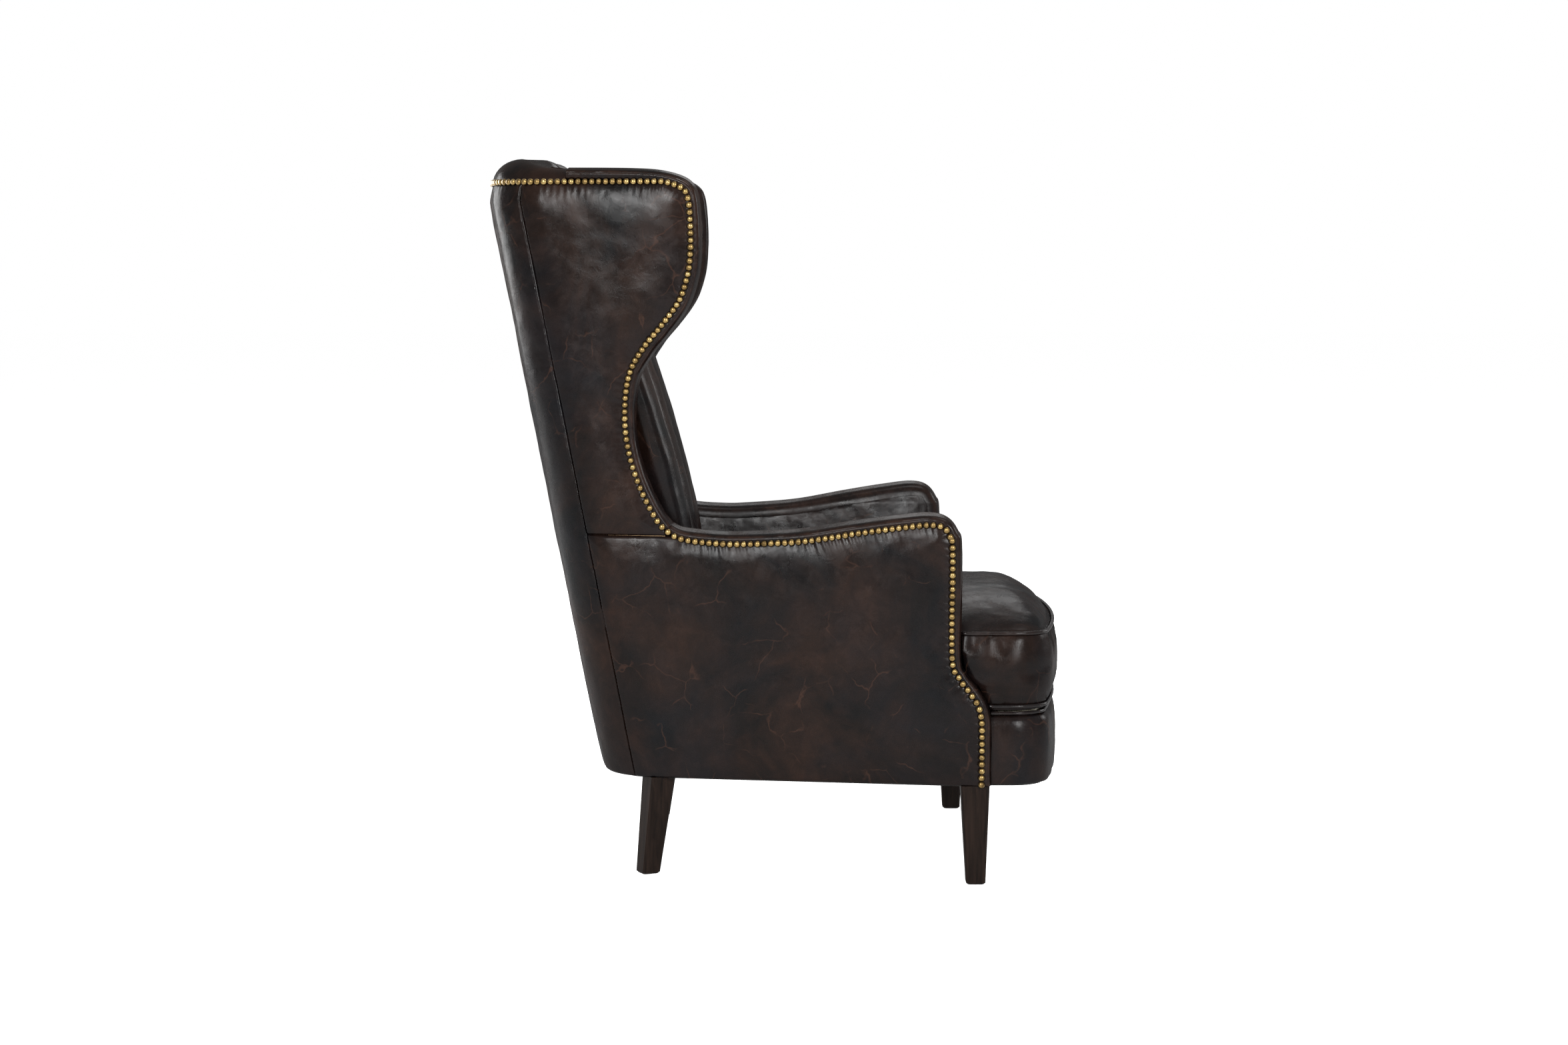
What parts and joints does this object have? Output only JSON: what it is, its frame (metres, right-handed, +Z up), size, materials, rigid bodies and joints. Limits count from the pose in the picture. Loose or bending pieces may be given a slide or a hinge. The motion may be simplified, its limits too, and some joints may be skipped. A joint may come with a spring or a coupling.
{
  "type": "wingback armchair",
  "caption": "High-backed wingback armchair in dark leather with serpentine wing and arm sides, a channelled inside back, a loose T-shaped seat cushion and tapered wooden legs.",
  "frame": {"origin": "on the floor under the middle of the chair's bounding box", "axes": "+Z up, -Y the way the sitter faces, +X the sitter's left"},
  "size_m": [0.7676, 0.942, 1.158],
  "materials": {
    "leather": "waxed, distressed, semi-gloss",
    "welt_leather": "waxed, semi-gloss",
    "leg_wood": "dark stained, satin lacquer",
    "frame_wood": "planed beech, unfinished",
    "steel": "plain wire and zinc",
    "cloth": "jute weave",
    "foam": "foam and wadding",
    "black_cloth": "black non-woven"
  },
  "bodies": {
    "chair": {"arm_band_left": "leather", "arm_band_right": "leather", "arm_post_left": "frame_wood", "arm_post_right": "frame_wood", "arm_rail_left": "frame_wood", "arm_rail_right": "frame_wood", "back_post_left": "frame_wood", "back_post_right": "frame_wood", "back_rail": "frame_wood", "back_web_1": "cloth", "back_web_2": "cloth", "crest_rail": "frame_wood", "deck_cloth": "cloth", "deck_pad": "foam", "dust_cover": "black_cloth", "front_border": "leather", "front_border_welt": "welt_leather", "front_corner_block_left": "frame_wood", "front_corner_block_right": "frame_wood", "front_cross_rail": "frame_wood", "front_leg_bolt_left": "steel", "front_leg_bolt_right": "steel", "front_leg_left": "leg_wood", "front_leg_right": "leg_wood", "inner_arm_pad_left": "leather", "inner_arm_pad_right": "leather", "inner_wing_pad_left": "leather", "inner_wing_pad_right": "leather", "inside_back": "leather", "inside_back_core": "foam", "lower_back_rail": "frame_wood", "nose_rail": "frame_wood", "nose_stretcher": "frame_wood", "outer_arm_panel_left": "leather", "outer_arm_panel_right": "leather", "outer_back_panel": "leather", "outer_wing_panel_left": "leather", "outer_wing_panel_right": "leather", "rear_corner_block_left": "frame_wood", "rear_corner_block_right": "frame_wood", "rear_leg_bolt_left": "steel", "rear_leg_bolt_right": "steel", "rear_leg_left": "leg_wood", "rear_leg_right": "leg_wood", "seat_spring_1": "steel", "seat_spring_2": "steel", "seat_spring_3": "steel", "seat_spring_4": "steel", "seat_spring_5": "steel", "side_rail_left": "frame_wood", "side_rail_right": "frame_wood", "wing_band_left": "leather", "wing_band_right": "leather", "wing_frame_left": "frame_wood", "wing_frame_right": "frame_wood"},
    "seat_cushion": {"seat_cushion_core": "foam", "seat_cushion_cover": "leather", "seat_cushion_welt_bottom": "welt_leather", "seat_cushion_welt_top": "welt_leather", "seat_cushion_zip": "steel"}
  },
  "joints": [
    {"name": "seat_cushion_lift", "type": "slide", "parent": "chair", "child": "seat_cushion", "axis": [0, -0.7071, 0.7071], "range_m": [0, 0.75]}
  ]
}
